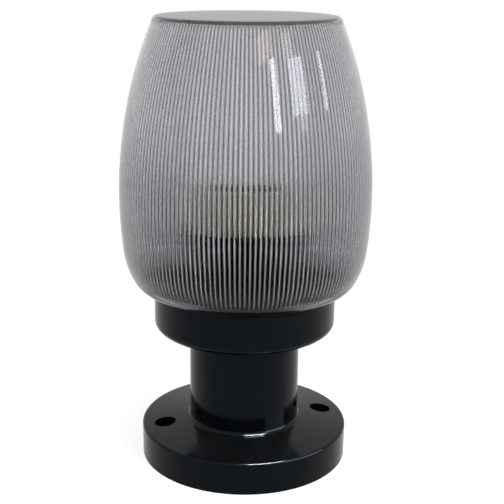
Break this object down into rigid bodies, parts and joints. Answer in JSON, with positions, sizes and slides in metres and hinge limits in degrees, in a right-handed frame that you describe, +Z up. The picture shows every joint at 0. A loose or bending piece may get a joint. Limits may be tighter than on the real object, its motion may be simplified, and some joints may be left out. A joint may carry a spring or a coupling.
{
  "type": "gate globe light",
  "caption": "Outdoor pillar light: black cast base and post, slotted collar and a barrel-shaped clear fluted globe over a screw lampholder.",
  "frame": {"origin": "centre of the flange's flat underside, where the light stands on the pillar", "axes": "+Z up along the post's axis; the two fixing holes lie on the X axis; -Y is the front"},
  "size_m": [0.2, 0.2, 0.3583],
  "materials": {
    "base_paint": "black semi-gloss powder coat on die-cast aluminium",
    "collar_paint": "black semi-gloss powder coat on die-cast aluminium",
    "stand_paint": "satin black paint on pressed steel",
    "clear_globe": "clear acrylic, polished outside and finely fluted inside",
    "seal_rubber": "dull moulded rubber",
    "grommet_rubber": "dull moulded rubber",
    "holder_porcelain": "cream glazed porcelain",
    "shell_metal": "nickel-plated rolled sheet",
    "contact_brass": "bare brass",
    "spring_steel": "drawn spring wire",
    "zinc_steel": "bright zinc plate",
    "block_plastic": "off-white moulded plastic",
    "tinned_copper": "tinned copper",
    "live_insulation": "brown wire insulation",
    "neutral_insulation": "blue wire insulation",
    "earth_insulation": "green wire insulation with a yellow stripe"
  },
  "bodies": {
    "root": {"base_casting": "base_paint", "collar": "collar_paint", "lampholder_stand": "stand_paint", "post_gasket": "seal_rubber", "cable_grommet": "grommet_rubber", "wire_grommet": "grommet_rubber", "lampholder_body": "holder_porcelain", "screw_shell": "shell_metal", "live_terminal": "contact_brass", "neutral_terminal": "contact_brass", "terminal_inserts": "contact_brass", "contact_spring": "spring_steel", "collar_screws": "zinc_steel", "collar_screw_washers": "zinc_steel", "stand_screws": "zinc_steel", "holder_screws": "zinc_steel", "holder_nuts": "zinc_steel", "holder_terminal_screws": "zinc_steel", "terminal_clamp_screws": "zinc_steel", "terminal_block_screws": "zinc_steel", "earth_screw": "zinc_steel", "earth_washer": "zinc_steel", "terminal_block": "block_plastic", "earth_lug": "tinned_copper", "live_wire": "live_insulation", "neutral_wire": "neutral_insulation", "earth_wire": "earth_insulation"},
    "gasket": {"globe_gasket": "seal_rubber"},
    "globe": {"globe": "clear_globe"},
    "contact": {"centre_contact": "contact_brass"}
  },
  "joints": [
    {"name": "globe_lift", "type": "slide", "parent": "root", "child": "gasket", "axis": [0, 0, 1], "range_m": [0, 0.25]},
    {"name": "globe_turn", "type": "hinge", "parent": "gasket", "child": "globe", "pos_m": [0, 0, 0.1424], "axis": [0, 0, -1], "range_deg": [0, 40]},
    {"name": "contact_press", "type": "slide", "parent": "root", "child": "contact", "axis": [0, 0, -1], "range_m": [0, 0.0015], "stiffness_N_per_m": 800, "springref_m": -0.002, "deforming": ["contact_spring"]}
  ]
}
